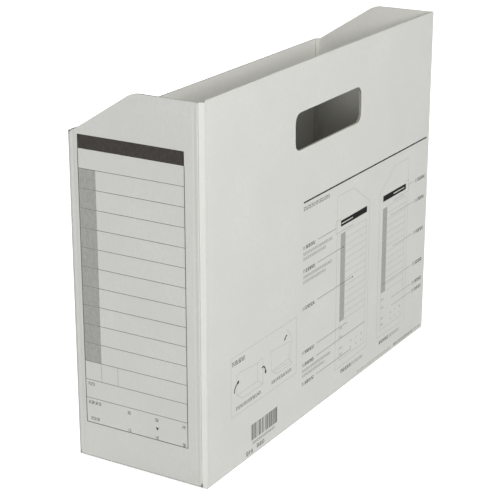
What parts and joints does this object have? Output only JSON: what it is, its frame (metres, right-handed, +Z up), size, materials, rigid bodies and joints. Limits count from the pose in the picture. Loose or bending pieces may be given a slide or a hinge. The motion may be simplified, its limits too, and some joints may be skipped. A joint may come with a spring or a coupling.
{
  "type": "archival box",
  "caption": "Open-topped upright storage box in thin grey-white corrugated board, with one tall side that has a hand hole, stepped end panels and a fold-flat body with bottom flaps.",
  "frame": {"origin": "centre of the footprint at the resting face", "axes": "+X along the box to the plain back end, -Y is the tall side with the hand hole, +Z up"},
  "size_m": [0.322, 0.1, 0.252],
  "materials": {
    "outer_board": "matte",
    "inner_board": "matte",
    "bevel_board": "matte"
  },
  "bodies": {
    "right_side": {"right_side_panel": "outer_board"},
    "back_right_strip": {"back_right_corner_strip": "bevel_board"},
    "back_end": {"back_end_panel": "outer_board"},
    "back_left_strip": {"back_left_corner_strip": "bevel_board"},
    "left_side": {"left_side_panel": "outer_board", "glue_flap": "inner_board"},
    "front_right_strip": {"front_right_corner_strip": "bevel_board"},
    "front_end": {"front_end_panel": "outer_board"},
    "front_left_strip": {"front_left_corner_strip": "bevel_board"},
    "right_flap": {"right_bottom_flap": "inner_board", "front_lock_tongue": "inner_board", "back_lock_tongue": "inner_board"},
    "left_flap": {"left_bottom_flap": "inner_board"},
    "front_flap": {"front_bottom_flap": "inner_board"},
    "back_flap": {"back_bottom_flap": "inner_board"}
  },
  "joints": [
    {"name": "right_flap_crease", "type": "hinge", "parent": "right_side", "child": "right_flap", "pos_m": [0, -0.0484, 0.0016], "axis": [-1, 0, 0], "range_deg": [0, 88]},
    {"name": "left_flap_crease", "type": "hinge", "parent": "left_side", "child": "left_flap", "pos_m": [0, 0.0484, 0.0016], "axis": [1, 0, 0], "range_deg": [0, 88]},
    {"name": "front_flap_crease", "type": "hinge", "parent": "front_end", "child": "front_flap", "pos_m": [-0.1594, 0, 0.0034], "axis": [0, 1, 0], "range_deg": [0, 88]},
    {"name": "back_flap_crease", "type": "hinge", "parent": "back_end", "child": "back_flap", "pos_m": [0.1594, 0, 0.0034], "axis": [0, -1, 0], "range_deg": [0, 88]},
    {"name": "crease_right_side_to_back_right", "type": "hinge", "parent": "right_side", "child": "back_right_strip", "pos_m": [0.15754, -0.0484, 0.126], "axis": [0, 0, 1], "range_deg": [0, 44]},
    {"name": "crease_back_right_to_back_end", "type": "hinge", "parent": "back_right_strip", "child": "back_end", "pos_m": [0.1594, -0.04654, 0.126], "axis": [0, 0, 1], "range_deg": [0, 44]},
    {"name": "crease_back_end_to_back_left", "type": "hinge", "parent": "back_end", "child": "back_left_strip", "pos_m": [0.1594, 0.04654, 0.126], "axis": [0, 0, 1], "range_deg": [-44, 0]},
    {"name": "crease_back_left_to_left_side", "type": "hinge", "parent": "back_left_strip", "child": "left_side", "pos_m": [0.15754, 0.0484, 0.126], "axis": [0, 0, 1], "range_deg": [-44, 0]},
    {"name": "crease_right_side_to_front_right", "type": "hinge", "parent": "right_side", "child": "front_right_strip", "pos_m": [-0.15754, -0.0484, 0.126], "axis": [0, 0, 1], "range_deg": [0, 44]},
    {"name": "crease_front_right_to_front_end", "type": "hinge", "parent": "front_right_strip", "child": "front_end", "pos_m": [-0.1594, -0.04654, 0.126], "axis": [0, 0, 1], "range_deg": [0, 44]},
    {"name": "crease_front_end_to_front_left", "type": "hinge", "parent": "front_end", "child": "front_left_strip", "pos_m": [-0.1594, 0.04654, 0.126], "axis": [0, 0, 1], "range_deg": [-44, 0]}
  ],
  "couplings": [
    {"joint": "left_flap_crease", "follows": "right_flap_crease", "ratio": 1},
    {"joint": "front_flap_crease", "follows": "right_flap_crease", "ratio": 1},
    {"joint": "back_flap_crease", "follows": "right_flap_crease", "ratio": 1},
    {"joint": "crease_right_side_to_back_right", "follows": "right_flap_crease", "ratio": 0.5},
    {"joint": "crease_back_right_to_back_end", "follows": "right_flap_crease", "ratio": 0.5},
    {"joint": "crease_back_end_to_back_left", "follows": "right_flap_crease", "ratio": -0.5},
    {"joint": "crease_back_left_to_left_side", "follows": "right_flap_crease", "ratio": -0.5},
    {"joint": "crease_right_side_to_front_right", "follows": "right_flap_crease", "ratio": 0.5},
    {"joint": "crease_front_right_to_front_end", "follows": "right_flap_crease", "ratio": 0.5},
    {"joint": "crease_front_end_to_front_left", "follows": "right_flap_crease", "ratio": -0.5}
  ]
}
